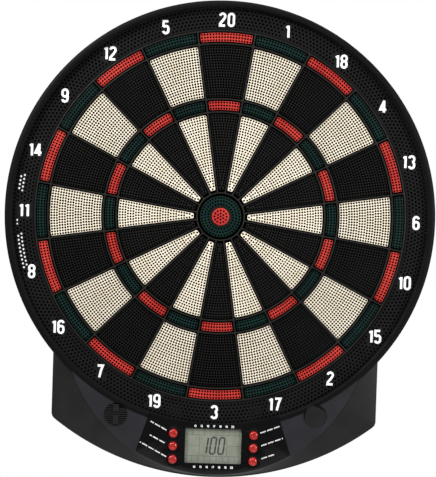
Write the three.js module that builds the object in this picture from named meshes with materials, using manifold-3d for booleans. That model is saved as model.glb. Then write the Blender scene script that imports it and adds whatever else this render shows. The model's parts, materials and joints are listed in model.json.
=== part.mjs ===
// Electronic dartboard for soft-tip darts: a round sprung target over a scoring console.
// Millimetres, +Z up. The target faces -Y, and the origin is on the wall face behind the bull.
import * as THREE from "three";
import { mergeVertices } from "three/addons/utils/BufferGeometryUtils.js";
import Module from "manifold-3d";

const wasm = await Module();
wasm.setup();

// ---- Driving dimensions -------------------------------------------------------------------

const GAP = 0.3; // between pieces that touch
const WELD = 0.5; // how far two joined shapes reach into each other

// The order of the numbers, clockwise from the top.
const NUMBERS = [20, 1, 18, 4, 13, 6, 10, 15, 2, 17, 3, 19, 7, 16, 8, 11, 14, 9, 12, 5];
const SECTOR = (2 * Math.PI) / NUMBERS.length;

// Target zones: inner and outer radius, and how far each side is set in from the sector's edge.
const ZONES = {
  innerSingle: { inner: 29.0, outer: 109.6, setIn: 2.0 },
  treble: { inner: 114.5, outer: 123.8, setIn: 2.5 },
  outerSingle: { inner: 128.4, outer: 182.7, setIn: 2.0 },
  double: { inner: 187.5, outer: 196.9, setIn: 2.5 },
};
const BULL = { inner: 9.5, outerInner: 11.8, outerOuter: 22.0 };

// Depths are Y values, from the front to the wall at 0.
const CROWN_Y = -35.4;
const PANEL_Y = -34.4;
const SPIDER_Y = -31.5;
const SEGMENT_Y = -31.0;
const CATCH_Y = -30.0;
const SEGMENT_TRAVEL = 1.2;
const SEGMENT_BACK = -18.0;
const CARRIER_FRONT = -20.6;
const RAIL_BACK = -22.5;
const SPIDER_BACK = -16.8;
const SHEET = { front: -16.3, back: -14.9, radius: 204 };
const FILM_UPPER = { front: -14.6, back: -14.3 };
const FILM_LOWER = { front: -14.0, back: -13.7 };
const BOARD = { front: -13.4, back: -9.4, radius: 204 };

const RIB = 1.5; // spider rib thickness
const FLANGE = { radius: 205.4, front: -27.4, back: -25.4 };

const HOUSING_R = 231.2;
const WALL = 2.5;
const RIM_INNER_R = 223.5;
const SEAT_R = 226.8;
const SEAT_BACK = -27.4;

const CATCH = { inner: 200.4, outer: 226.5, thickness: 2.0, wellInner: 206, wellOuter: 208, wellBack: -3 };

// Console hood: straight sides, a bottom arc about the bull, and a raised panel under an arc of its own.
const HOOD = { half: 176, bottomR: 283, corner: 9, wallTop: -26, steps: 28 };
const PANEL_ARC = { z: -114.3, r: 164.2 };
const HOOD_FROM = THREE.MathUtils.degToRad(8);
const HOOD_PAST = 2; // the wings run on past the outline that trims them
const PANEL_THICKNESS = 2.6;
const CROWN_ROUND = 4.2;
const LIP = 1.6; // the rim's inner edge is broken by this much

const LABEL = { topR: 223.5, bottomR: 162.3, topHalf: 69.5, topZ: -213.5, lowHalf: 80.9, lowZ: -250.7 };
const LABEL_DEPTH = 0.8;
const LABEL_RUN_OUT = 1.2; // how far the recess runs out past the inlay, through the rim's inner lip
const DISPLAY = { width: 60.6, height: 37.2, z: -247.0 };
const LENS = { width: 64.2, height: 40.2, thickness: 1.4 };
const LCD = { width: 65, height: 39.4, front: -31.5, back: -28.8 };

const KEY = { x: 43.2, radius: 4.7, flangeR: 5.5, flange: 1.2, stemR: 3, dome: 2.2, proud: 0.8 };
const KEY_ROWS = { upper: -234.1, middle: -247.9, lower: -262.2 };
const PAD = { half: 5.5, past: 5, sheet: 1.5, domeR: 3.6, dome: 3.6, stem: 5.2 };
const PCB = { half: 58, top: -229, bottom: -268, front: -23.7, back: -22.1 };
const BOARD_POST = { radius: 2.2, x: 55, rows: [-234, -260] };
const SPEAKER = { x: 105.6, z: -215.6, radius: 13.2, front: -31.4, back: -22.0 };
const BLIND = { x: 108.6, z: -211.3 }; // the shallow recess on the other side, with no speaker behind it
const GRILLE = { radius: 12.9, recess: 0.5, slots: 5, pitch: 4.4, slot: 2.2 };

const COVER = { thickness: 2.2, ribFront: -9.1, rib: 2, ribRings: [60, 150], ribEnd: 198 };
const COVER_SPOKES = [22, 90, 158, 202, 270, 338]; // clock degrees
const CELL = { radius: 7.1, length: 49.2, pitch: 15.5, y: -10.6, nubR: 2.7, nub: 1.2 };
const BAY = { half: 30, halfTall: 23.8, z: -247, front: -19.5, wall: 2.9, floor: 1.6 };
const DOOR = { depth: 1.7, ledge: 0.1, hookHalf: 9, hook: 0.9, hookReach: 2.4 };
const CONTACT = { thickness: 0.5, half: 5, past: 4.5, springR: 4, springTipR: 2.4 };

// Cover screws: clock angles on the rim's wall, and X, Z places in the console.
const SCREW_RING_R = 224.2;
const SCREW_CLOCK = [0, 57, 123, 237, 303];
const SCREW_CONSOLE = [
  [-150, -212],
  [150, -212],
  [66, -256],
];
const SCREW = { headR: 3.0, head: 2.0, shankR: 1.4, length: 14, sunk: 3.0 };
const POST_R = 4.8;
const CUP = { radius: 4.9, floor: 2 };

const KEYHOLE = { x: 76.2, z: 149.6, entryR: 6, slot: 5.4, rise: 12 };
const CUTAWAY_OUTER = 226.1;
const CUTAWAYS = [
  { from: 253, to: 263.5, inner: 219 },
  { from: 266, to: 271, inner: 223 },
  { from: 275.5, to: 280.5, inner: 219 },
]; // clock degrees, behind the catch ring on the left

const RING_STEPS = 60;
const RAIL_STEPS = 40;
const HUB_STEPS = 20;
const SECTOR_STEPS = 2;

const colour = (hex, roughness, metalness = 0) =>
  new THREE.MeshStandardMaterial({ color: hex, roughness, metalness });

const MATERIALS = {
  housing: colour(0x29292a, 0.55),
  catchRing: colour(0x222224, 0.65),
  spider: colour(0x1d1c1b, 0.6),
  darkSegment: colour(0x161616, 0.6),
  lightSegment: colour(0xece4d2, 0.55),
  red: colour(0xc8362f, 0.4),
  green: colour(0x1f4440, 0.5),
  inlay: colour(0x0b0b0d, 0.2),
  clear: colour(0xcfd6d0, 0.1),
  display: colour(0xa9b5a2, 0.35),
  rubber: colour(0x2c2c2c, 0.9),
  film: colour(0xd9dcd6, 0.4),
  fibreboard: colour(0x6b4a30, 0.9),
  circuit: colour(0x1f5a35, 0.5),
  metal: colour(0xb9bbbd, 0.3, 1),
  cell: colour(0x46484b, 0.35),
};

// ---- Solids -------------------------------------------------------------------------------

// A closed geometry as a solid that can be joined and cut.
function solid(geometry) {
  const bare = geometry.clone();
  bare.deleteAttribute("normal");
  bare.deleteAttribute("uv");
  const merged = mergeVertices(bare, 1e-4);
  const index = merged.index.array;
  const kept = [];
  for (let i = 0; i < index.length; i += 3) {
    const [a, b, c] = [index[i], index[i + 1], index[i + 2]];
    if (a !== b && b !== c && c !== a) kept.push(a, b, c);
  }
  return new wasm.Manifold(
    new wasm.Mesh({
      numProp: 3,
      vertProperties: new Float32Array(merged.attributes.position.array),
      triVerts: new Uint32Array(kept),
    }),
  );
}

const join = (first, ...others) => others.reduce((all, one) => all.add(one), first);
const cut = (first, ...others) => others.reduce((all, one) => all.subtract(one), first);

// A solid as a geometry for a mesh.
function geometryOf(made) {
  const { vertProperties, triVerts } = made.getMesh();
  const geometry = new THREE.BufferGeometry();
  geometry.setAttribute("position", new THREE.BufferAttribute(new Float32Array(vertProperties), 3));
  geometry.setIndex(new THREE.BufferAttribute(new Uint32Array(triVerts), 1));
  geometry.computeVertexNormals();
  return geometry;
}

// An outline in X and Z, filled from front to back.
function plate(outline, front, back, curveSegments = 16) {
  const shape = outline instanceof THREE.Shape ? outline : new THREE.Shape(outline);
  const settings = { depth: back - front, bevelEnabled: false, curveSegments };
  const geometry = new THREE.ExtrudeGeometry(shape, settings);
  geometry.rotateX(Math.PI / 2);
  geometry.translate(0, back, 0);
  return solid(geometry);
}

// A closed profile of [radius, y] points turned about the Y axis.
function turned(profile, steps = RING_STEPS) {
  const points = profile.map(([radius, y]) => new THREE.Vector2(radius, y));
  if (THREE.ShapeUtils.area(points) < 0) points.reverse();
  points.push(points[0].clone());
  return solid(new THREE.LatheGeometry(points, steps));
}

const ring = (inner, outer, front, back, steps) =>
  turned([[inner, front], [outer, front], [outer, back], [inner, back]], steps);

// A round bar along Y.
const bar = (radius, front, back, x = 0, z = 0, steps = 12) =>
  solid(new THREE.CylinderGeometry(radius, radius, back - front, steps).translate(x, (front + back) / 2, z));

const box = (x0, x1, y0, y1, z0, z1) =>
  solid(
    new THREE.BoxGeometry(x1 - x0, y1 - y0, z1 - z0).translate((x0 + x1) / 2, (y0 + y1) / 2, (z0 + z1) / 2),
  );

// A solid turned clockwise, as seen from the front, about the bull.
const clockwise = (made, angle) => solid(geometryOf(made).rotateY(angle));

// A closed solid through rings of points, from the front ring to the back ring.
function loft(rings) {
  const count = rings[0].points.length;
  const position = rings.flatMap(({ points, y }) => points.flatMap((p) => [p.x, y, p.y]));
  const faces = THREE.ShapeUtils.triangulateShape(rings[0].points, []).flat();
  const last = (rings.length - 1) * count;
  for (const [a, b, c] of THREE.ShapeUtils.triangulateShape(rings.at(-1).points, [])) {
    faces.push(last + a, last + c, last + b);
  }
  for (let k = 0; k < rings.length - 1; k++) {
    for (let i = 0; i < count; i++) {
      const a = k * count + i;
      const b = k * count + ((i + 1) % count);
      faces.push(a, a + count, b, b, a + count, b + count);
    }
  }
  const geometry = new THREE.BufferGeometry();
  geometry.setAttribute("position", new THREE.Float32BufferAttribute(position, 3));
  geometry.setIndex(faces);
  return solid(geometry);
}

const onCircle = (radius, clock) => new THREE.Vector2(radius * Math.sin(clock), radius * Math.cos(clock));

// ---- Target -------------------------------------------------------------------------------

// Half the angle that a shape spans at a radius, with its sides parallel to the sector's edges.
const halfAngle = (radius, setIn) => SECTOR / 2 - Math.asin(setIn / radius);

function sectorOutline({ inner, outer, setIn }) {
  const arc = (radius, side) =>
    Array.from({ length: SECTOR_STEPS + 1 }, (_, i) =>
      onCircle(radius, side * halfAngle(radius, setIn) * (1 - (2 * i) / SECTOR_STEPS)),
    );
  return [...arc(outer, 1), ...arc(inner, -1)];
}

// The four segments of one number, on the thin carrier that runs behind the spider's rails.
function numberSegments() {
  const carrier = plate(sectorOutline({ inner: 31, outer: 195, setIn: 3.6 }), CARRIER_FRONT, SEGMENT_BACK);
  const blocks = Object.values(ZONES).map((zone) =>
    plate(sectorOutline(zone), SEGMENT_Y, CARRIER_FRONT + WELD),
  );
  return join(carrier, ...blocks);
}

const ARM = { count: 4, width: 1.8, front: -18.9 };

function innerBull() {
  return bar(BULL.inner, SEGMENT_Y, SEGMENT_BACK, 0, 0, HUB_STEPS);
}

// The outer bull is notched behind for the arms that carry the spider's innermost ring.
function outerBull() {
  const notch = ARM.width / 2 + 1;
  const front = ARM.front - SEGMENT_TRAVEL - 2 * GAP;
  const reach = BULL.outerOuter + 1;
  return cut(
    ring(BULL.outerInner, BULL.outerOuter, SEGMENT_Y, SEGMENT_BACK, HUB_STEPS),
    box(-notch, notch, front, 0, -reach, reach),
    box(-reach, reach, front, 0, -notch, notch),
  );
}

const between = (a, b) => (a + b) / 2;
const RAILS = {
  bull: between(BULL.inner, BULL.outerInner),
  hub: between(BULL.outerOuter, ZONES.innerSingle.inner),
  trebleInner: between(ZONES.innerSingle.outer, ZONES.treble.inner),
  trebleOuter: between(ZONES.treble.outer, ZONES.outerSingle.inner),
  doubleInner: between(ZONES.outerSingle.outer, ZONES.double.inner),
  outer: ZONES.double.outer + 2.1,
};

function spider() {
  const rail = (radius, back, thickness = RIB, steps = RAIL_STEPS) =>
    ring(radius - thickness / 2, radius + thickness / 2, SPIDER_Y, back, steps);
  const spoke = box(-RIB / 2, RIB / 2, SPIDER_Y, SPIDER_BACK, RAILS.hub, RAILS.outer);
  const spokes = NUMBERS.map((_, i) => clockwise(spoke, (i + 0.5) * SECTOR));
  const arm = box(-ARM.width / 2, ARM.width / 2, ARM.front, SPIDER_BACK, RAILS.bull, RAILS.hub);
  const arms = Array.from({ length: ARM.count }, (_, i) => clockwise(arm, (i * Math.PI) / 2));
  return join(
    rail(RAILS.outer, SPIDER_BACK),
    ring(RAILS.outer, FLANGE.radius, FLANGE.front, FLANGE.back, RAIL_STEPS),
    rail(RAILS.hub, SPIDER_BACK, RIB, HUB_STEPS),
    rail(RAILS.bull, SPIDER_BACK, 1.1, HUB_STEPS),
    rail(RAILS.trebleInner, RAIL_BACK),
    rail(RAILS.trebleOuter, RAIL_BACK),
    rail(RAILS.doubleInner, RAIL_BACK),
    ...spokes,
    ...arms,
  );
}

// The film tails run from the target to the circuit board on either side of the battery bay.
const TAIL = { from: 36, to: 52, end: -236, overlap: 12 };

function catchRing() {
  const { inner, outer, thickness, wellInner, wellOuter, wellBack } = CATCH;
  const back = CATCH_Y + thickness;
  const shell = turned([
    [inner, CATCH_Y],
    [outer, CATCH_Y],
    [outer, back],
    [wellOuter, back],
    [wellOuter, wellBack],
    [wellInner, wellBack],
    [wellInner, back],
    [inner, back],
  ]);
  const slot = (x0, x1) => box(x0, x1, FILM_UPPER.front - 1, FILM_LOWER.back + 1, -wellOuter - 2, -190);
  return cut(shell, slot(TAIL.from - 1, TAIL.to + 1), slot(-TAIL.to - 1, -TAIL.from + 1));
}

const disc = (radius, front, back) => bar(radius, front, back, 0, 0, RING_STEPS);

function contactFilm({ front, back }, side) {
  const edges = [side * TAIL.from, side * TAIL.to].sort((a, b) => a - b);
  const tail = box(edges[0], edges[1], front, back, TAIL.end, -SHEET.radius + TAIL.overlap);
  return join(disc(SHEET.radius, front, back), tail);
}

// ---- Housing ------------------------------------------------------------------------------

// The console's outline in X and Z, set in by a wall: straight sides, round corners and a bottom arc.
function consoleOutline(setIn) {
  const half = HOOD.half - setIn;
  const radius = HOOD.bottomR - setIn;
  const corner = HOOD.corner - setIn;
  const x = half - corner;
  const z = -Math.sqrt((radius - corner) ** 2 - x ** 2);
  const top = -HOOD.half * Math.tan(HOOD_FROM) + PANEL_ARC.z;
  const turn = Math.atan2(-z, x);
  const shape = new THREE.Shape();
  shape.moveTo(-half, top);
  shape.lineTo(-half, z);
  shape.absarc(-x, z, corner, Math.PI, Math.PI + turn, false);
  shape.absarc(0, 0, radius, Math.PI + turn, 2 * Math.PI - turn, false);
  shape.absarc(x, z, corner, 2 * Math.PI - turn, 2 * Math.PI, false);
  shape.lineTo(half, top);
  return shape;
}

// Where a ray down from the panel arc's centre passes the console's sides or bottom arc.
function hoodEdge(direction, setIn) {
  const along = PANEL_ARC.z * direction.y;
  const radius = HOOD.bottomR - setIn + HOOD_PAST;
  const toArc = -along + Math.sqrt(along ** 2 - PANEL_ARC.z ** 2 + radius ** 2);
  const toSide = (HOOD.half - setIn + HOOD_PAST) / Math.max(Math.abs(direction.x), 1e-6);
  return direction.clone().multiplyScalar(Math.min(toArc, toSide)).add(new THREE.Vector2(0, PANEL_ARC.z));
}

// The hood as a filled shape: a flat panel inside the arc, and wings that fall away to the side walls.
function hood(setIn, drop, back) {
  const { steps } = HOOD;
  const corner = Math.atan2(-Math.sqrt(HOOD.bottomR ** 2 - HOOD.half ** 2) - PANEL_ARC.z, HOOD.half);
  const sweep = Math.PI - 2 * HOOD_FROM;
  const even = Array.from({ length: steps + 1 }, (_, i) => HOOD_FROM + (i * sweep) / steps);
  const directions = [...even, -corner, Math.PI + corner]
    .sort((a, b) => b - a)
    .map((angle) => new THREE.Vector2(Math.cos(angle), -Math.sin(angle)));
  const centre = new THREE.Vector2(0, PANEL_ARC.z);
  const panel = directions.map((d) => d.clone().multiplyScalar(PANEL_ARC.r - setIn).add(centre));
  const edge = directions.map((d) => hoodEdge(d, setIn));
  return loft([
    { points: panel, y: PANEL_Y + drop },
    { points: edge, y: HOOD.wallTop + drop },
    { points: edge, y: back },
  ]);
}

// The rim: a wall with a rounded crown, an inner lip, and a seat behind it for the catch ring.
function rim() {
  const crown = Array.from({ length: 3 }, (_, i) => {
    const angle = (i * Math.PI) / 4;
    return [
      HOUSING_R - CROWN_ROUND + CROWN_ROUND * Math.cos(angle),
      CROWN_Y + CROWN_ROUND - CROWN_ROUND * Math.sin(angle),
    ];
  });
  return turned([
    [HOUSING_R, 0],
    ...crown,
    [RIM_INNER_R + LIP, CROWN_Y],
    [RIM_INNER_R, CROWN_Y + LIP],
    [RIM_INNER_R, CATCH_Y - GAP],
    [SEAT_R, CATCH_Y - GAP],
    [SEAT_R, SEAT_BACK],
    [HOUSING_R - WALL, SEAT_BACK + 1.5],
    [HOUSING_R - WALL, 0],
  ]);
}

const screwPlaces = () => [
  ...SCREW_CLOCK.map((clock) => onCircle(SCREW_RING_R, THREE.MathUtils.degToRad(clock))),
  ...SCREW_CONSOLE.map(([x, z]) => new THREE.Vector2(x, z)),
];

// The outline of the glossy inlay, or of its recess when it is grown by a margin and runs out at the top.
function labelOutline(margin, runOut = 0) {
  const { topR, bottomR, topHalf, topZ, lowHalf, lowZ } = LABEL;
  const topAngle = Math.atan2(topZ, topHalf + margin);
  const lowAngle = Math.atan2(lowZ - PANEL_ARC.z, lowHalf + margin);
  const shape = new THREE.Shape();
  shape.absarc(0, 0, topR - runOut, topAngle, -Math.PI - topAngle, true);
  shape.absarc(0, PANEL_ARC.z, bottomR + margin, -Math.PI - lowAngle, lowAngle, false);
  return shape;
}

const keyPlaces = Object.entries(KEY_ROWS).flatMap(([row, z]) => [
  { name: `left_${row}`, x: -KEY.x, z },
  { name: `right_${row}`, x: KEY.x, z },
]);

const displayBox = ({ width, height }, margin, front, back) =>
  box(
    -width / 2 - margin,
    width / 2 + margin,
    front,
    back,
    DISPLAY.z - height / 2 - margin,
    DISPLAY.z + height / 2 + margin,
  );

function frontHousing() {
  const panelBack = PANEL_Y + PANEL_THICKNESS;
  const outside = hood(0, 0, 0).intersect(plate(consoleOutline(0), CROWN_Y - 1, 1));
  const inside = hood(WALL, PANEL_THICKNESS, 1).intersect(plate(consoleOutline(WALL), CROWN_Y - 1, 2));
  const opening = bar(RIM_INNER_R, CROWN_Y - 1, 1, 0, 0, RING_STEPS);
  const seat = bar(SEAT_R, CATCH_Y - GAP, 1, 0, 0, RING_STEPS);
  const chamber = bar(HOUSING_R - WALL, SEAT_BACK + 1.5, 1, 0, 0, RING_STEPS);
  const shell = cut(join(rim(), outside), inside, opening, seat, chamber);

  const post = (at) => {
    const top = at.length() < HOUSING_R ? SEAT_BACK : panelBack - WELD;
    return cut(
      bar(POST_R, top, -COVER.thickness - SCREW.sunk, at.x, at.y, 8),
      bar(SCREW.shankR + GAP, -COVER.thickness - SCREW.sunk - SCREW.length, 0, at.x, at.y, 6),
    );
  };
  const boardPosts = [-BOARD_POST.x, BOARD_POST.x].flatMap((x) =>
    BOARD_POST.rows.map((z) => bar(BOARD_POST.radius, panelBack - WELD, PCB.front - GAP, x, z, 8)),
  );
  const { radius, recess, pitch, slot } = GRILLE;
  const slots = Array.from({ length: GRILLE.slots }, (_, i) => {
    const offset = (i - (GRILLE.slots - 1) / 2) * pitch;
    const half = Math.sqrt((radius - 1) ** 2 - offset ** 2);
    const z = SPEAKER.z + offset;
    return box(-SPEAKER.x - half, -SPEAKER.x + half, PANEL_Y - 1, panelBack + 1, z - slot / 2, z + slot / 2);
  });
  return cut(
    join(shell, ...screwPlaces().map(post), ...boardPosts),
    plate(labelOutline(GAP, LABEL_RUN_OUT), PANEL_Y - 3, PANEL_Y + LABEL_DEPTH + GAP),
    displayBox(LENS, GAP, PANEL_Y - 1, panelBack + 1),
    ...keyPlaces.map(({ x, z }) => bar(KEY.radius + GAP, PANEL_Y - 1, panelBack + 1, x, z)),
    ...keyPlaces.map(({ x, z }) => bar(KEY.flangeR + GAP, panelBack - GAP, PCB.front, x, z)),
    bar(radius, PANEL_Y - 1, PANEL_Y + recess, -SPEAKER.x, SPEAKER.z, 16),
    bar(radius, PANEL_Y - 1, PANEL_Y + recess, BLIND.x, BLIND.z, 16),
    ...slots,
  );
}

function controlLabel() {
  return cut(
    plate(labelOutline(0), PANEL_Y, PANEL_Y + LABEL_DEPTH),
    displayBox(DISPLAY, 0, PANEL_Y - 1, 0),
    ...keyPlaces.map(({ x, z }) => bar(KEY.radius + GAP, PANEL_Y - 1, 0, x, z)),
  );
}

// ---- Console parts ------------------------------------------------------------------------

function keyCap(x, z) {
  const flangeFront = PANEL_Y + PANEL_THICKNESS + GAP;
  const stemBack = PCB.front - PAD.stem;
  const tip = PANEL_Y - KEY.proud;
  const dome = Array.from({ length: 4 }, (_, i) => {
    const angle = (i * Math.PI) / 6;
    return [KEY.radius * Math.cos(angle), tip - KEY.dome * Math.sin(angle)];
  });
  const profile = [
    [0, stemBack],
    [KEY.stemR, stemBack],
    [KEY.stemR, flangeFront + KEY.flange],
    [KEY.flangeR, flangeFront + KEY.flange],
    [KEY.flangeR, flangeFront],
    [KEY.radius, flangeFront],
    ...dome,
  ];
  return turned(profile, 12).translate([x, 0, z]);
}

// A strip of three rubber domes over the circuit board.
function keypad(x) {
  const rows = Object.values(KEY_ROWS);
  const { half, past, domeR, dome } = PAD;
  const front = PCB.front - PAD.sheet;
  const [low, high] = [Math.min(...rows) - past, Math.max(...rows) + past];
  const sheet = box(x - half, x + half, front, PCB.front - GAP, low, high);
  return join(sheet, ...rows.map((z) => bar(domeR, PCB.front - dome, front + WELD, x, z, 12)));
}

function mainBoard() {
  const plug = (x0, x1) => box(x0, x1, PCB.back - WELD, FILM_UPPER.front - GAP, TAIL.end, TAIL.end + 5);
  return join(
    box(-PCB.half, PCB.half, PCB.front, PCB.back, PCB.bottom, PCB.top),
    plug(TAIL.from, TAIL.to),
    plug(-TAIL.to, -TAIL.from),
  );
}

function speaker() {
  const { radius, front, back, x, z } = SPEAKER;
  return turned(
    [
      [0, front + 2.2],
      [radius * 0.35, front + 2.2],
      [radius * 0.8, front + 0.6],
      [radius * 0.86, front],
      [radius, front],
      [radius, front + 3],
      [radius * 0.62, back - 3],
      [radius * 0.62, back],
      [0, back],
    ],
    16,
  ).translate([-x, 0, z]);
}

// ---- Back ---------------------------------------------------------------------------------

function rearCover() {
  const clear = WALL + GAP;
  const front = -COVER.thickness;
  const filled = (from) => join(disc(HOUSING_R - clear, from, 0), plate(consoleOutline(clear), from, 0));
  const half = COVER.rib / 2;
  const rib = (radius) => ring(radius - half, radius + half, COVER.ribFront, front + WELD, HUB_STEPS);
  const spoke = box(-half, half, COVER.ribFront, front + WELD, COVER.ribRings[0], COVER.ribEnd);
  const spokes = COVER_SPOKES.map((clock) => clockwise(spoke, THREE.MathUtils.degToRad(clock)));
  const places = screwPlaces();
  const cups = places.map((at) => bar(CUP.radius, -SCREW.sunk - CUP.floor, front + WELD, at.x, at.y, 8));
  const sinks = places.map((at) => bar(SCREW.headR + 0.6, -SCREW.sunk, 1, at.x, at.y, 12));
  const holes = places.map((at) => bar(SCREW.shankR + GAP, -20, 1, at.x, at.y, 6));
  const { halfTall, z, wall } = BAY;
  const outer = { x: BAY.half + wall, z: halfTall + wall };
  const bay = box(-outer.x, outer.x, BAY.front - BAY.floor, 0, z - outer.z, z + outer.z);
  const pocket = box(-BAY.half, BAY.half, BAY.front, 1, z - halfTall, z + halfTall);
  const seat = { x: outer.x - DOOR.ledge, z: outer.z - DOOR.ledge };
  const recess = box(-seat.x, seat.x, -DOOR.depth - GAP, 1, z - seat.z, z + seat.z);
  const slotHalf = KEYHOLE.slot / 2;
  const slotTop = KEYHOLE.z + KEYHOLE.rise;
  const keyholes = [-KEYHOLE.x, KEYHOLE.x].flatMap((x) => [
    bar(KEYHOLE.entryR, front - 1, 1, x, KEYHOLE.z, 16),
    bar(slotHalf, front - 1, 1, x, slotTop, 12),
    box(x - slotHalf, x + slotHalf, front - 1, 1, KEYHOLE.z, slotTop),
  ]);
  return cut(
    join(filled(front), ...COVER.ribRings.map(rib), ...spokes, ...cups, bay).intersect(filled(BAY.front - 2)),
    pocket,
    recess,
    ...CUTAWAYS.map(cutaway),
    ...sinks,
    ...holes,
    ...keyholes,
  );
}

// A window in the cover behind the catch ring, between two clock angles.
function cutaway({ from, to, inner }) {
  const steps = 4;
  const angle = (i) => THREE.MathUtils.degToRad(from + ((to - from) * i) / steps);
  const arc = (radius) => Array.from({ length: steps + 1 }, (_, i) => onCircle(radius, angle(i)));
  return plate([...arc(inner), ...arc(CUTAWAY_OUTER).reverse()], -8, 1);
}

function batteryDoor() {
  const { half, halfTall, z, wall } = BAY;
  const { depth, ledge, hookHalf, hookReach } = DOOR;
  const grow = wall - ledge - GAP;
  const lid = box(-half - grow, half + grow, -depth, -ledge, z - halfTall - grow, z + halfTall + grow);
  const edge = halfTall - GAP;
  const hook = (z0, z1) => box(-hookHalf, hookHalf, -depth - hookReach, -depth + WELD, z0, z1);
  return join(lid, hook(z + edge - DOOR.hook, z + edge), hook(z - edge, z - edge + DOOR.hook));
}

// An AA cell along X, with its positive nub towards the side given.
function cell(row, side) {
  const { radius, length, nubR, nub, y, pitch } = CELL;
  const can = new THREE.CylinderGeometry(radius, radius, length, 16).rotateZ(Math.PI / 2);
  const tip = new THREE.CylinderGeometry(nubR, nubR, nub + WELD, 12).rotateZ(Math.PI / 2);
  tip.translate(side * (length / 2 + nub / 2 - WELD / 2), 0, 0);
  return join(solid(can), solid(tip)).translate([0, y, BAY.z - row * pitch]);
}

// A contact plate at one end of the bay, with a spring cone at each row given.
function contact(side, rows, springRows) {
  const { y, pitch } = CELL;
  const { half, past, springR, springTipR } = CONTACT;
  const outerX = BAY.half - GAP;
  const innerX = outerX - CONTACT.thickness;
  const zs = rows.map((row) => BAY.z - row * pitch);
  const [x0, x1] = [side * outerX, side * innerX].sort((a, b) => a - b);
  const leaf = box(x0, x1, y - half, y + half, Math.min(...zs) - past, Math.max(...zs) + past);
  const reach = innerX - CELL.length / 2 - GAP;
  const springs = springRows.map((row) => {
    const cone = new THREE.CylinderGeometry(springTipR, springR, reach + WELD, 12);
    const x = side * (innerX - reach / 2 + WELD / 2);
    return solid(cone.rotateZ((side * Math.PI) / 2).translate(x, y, BAY.z - row * pitch));
  });
  return join(leaf, ...springs);
}

function coverScrew() {
  const { headR, head, shankR, length, sunk } = SCREW;
  const headFront = -sunk + GAP;
  return turned(
    [
      [0, headFront + head],
      [headR * 0.7, headFront + head],
      [headR, headFront + head * 0.45],
      [headR, headFront],
      [shankR, headFront],
      [shankR, -length],
      [0, -length - 1.2],
    ],
    12,
  );
}

// ---- Assembly -----------------------------------------------------------------------------

const board = new THREE.Group();
board.name = "electronic_dartboard";

function place(name, made, material, parent = board) {
  const mesh = new THREE.Mesh(made.isBufferGeometry ? made : geometryOf(made), material);
  mesh.name = name;
  parent.add(mesh);
  return mesh;
}

const target = new THREE.Group();
board.add(target);
const oneNumber = geometryOf(numberSegments());
NUMBERS.forEach((number, i) => {
  const material = i % 2 ? MATERIALS.lightSegment : MATERIALS.darkSegment;
  place(`segments_${number}`, oneNumber, material, target).rotation.y = i * SECTOR;
});
place("outer_bull", outerBull(), MATERIALS.green, target);
place("inner_bull", innerBull(), MATERIALS.red, target);
place("spider", spider(), MATERIALS.spider, target);
place("catch_ring", catchRing(), MATERIALS.catchRing, target);
place("return_sheet", disc(SHEET.radius, SHEET.front, SHEET.back), MATERIALS.rubber, target);
place("contact_film_upper", contactFilm(FILM_UPPER, -1), MATERIALS.film, target);
place("contact_film_lower", contactFilm(FILM_LOWER, 1), MATERIALS.film, target);
place("backing_board", disc(BOARD.radius, BOARD.front, BOARD.back), MATERIALS.fibreboard, target);

place("front_housing", frontHousing(), MATERIALS.housing);
place("control_label", controlLabel(), MATERIALS.inlay);
const lensFront = PANEL_Y + LABEL_DEPTH + GAP;
place("display_window", displayBox(LENS, 0, lensFront, lensFront + LENS.thickness), MATERIALS.clear);
place("lcd_module", displayBox(LCD, 0, LCD.front, LCD.back), MATERIALS.display);
const zebraZ = DISPLAY.z - LCD.height / 2;
place(
  "lcd_connector",
  box(-29, 29, LCD.back + GAP, PCB.front - GAP, zebraZ + 1, zebraZ + 3.6),
  MATERIALS.rubber,
);
keyPlaces.forEach(({ name, x, z }) => place(`button_${name}`, keyCap(x, z), MATERIALS.red));
place("keypad_left", keypad(-KEY.x), MATERIALS.rubber);
place("keypad_right", keypad(KEY.x), MATERIALS.rubber);
place("main_board", mainBoard(), MATERIALS.circuit);
place("speaker", speaker(), MATERIALS.rubber);

place("rear_cover", rearCover(), MATERIALS.housing);
place("battery_door", batteryDoor(), MATERIALS.housing);
[-1, 0, 1].forEach((row, i) => place(`battery_cell_${i + 1}`, cell(row, row ? 1 : -1), MATERIALS.cell));
place("contact_negative", contact(-1, [-1], [-1]), MATERIALS.metal);
place("contact_bridge_left", contact(-1, [0, 1], [1]), MATERIALS.metal);
place("contact_bridge_right", contact(1, [-1, 0], [0]), MATERIALS.metal);
place("contact_positive", contact(1, [1], []), MATERIALS.metal);
const screwGeometry = geometryOf(coverScrew());
screwPlaces().forEach((at, i) => {
  place(`cover_screw_${i + 1}`, screwGeometry, MATERIALS.metal).position.set(at.x, 0, at.y);
});

export default board;
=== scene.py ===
"""The looks of an electronic dartboard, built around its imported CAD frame.

Lengths are millimetres in the frame's axes: X to the right, Z up, and the target faces -Y.
"""
import json
import math

import bmesh
import bpy
import numpy as np
from mathutils import Matrix, Vector
from mathutils.geometry import delaunay_2d_cdt


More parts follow.
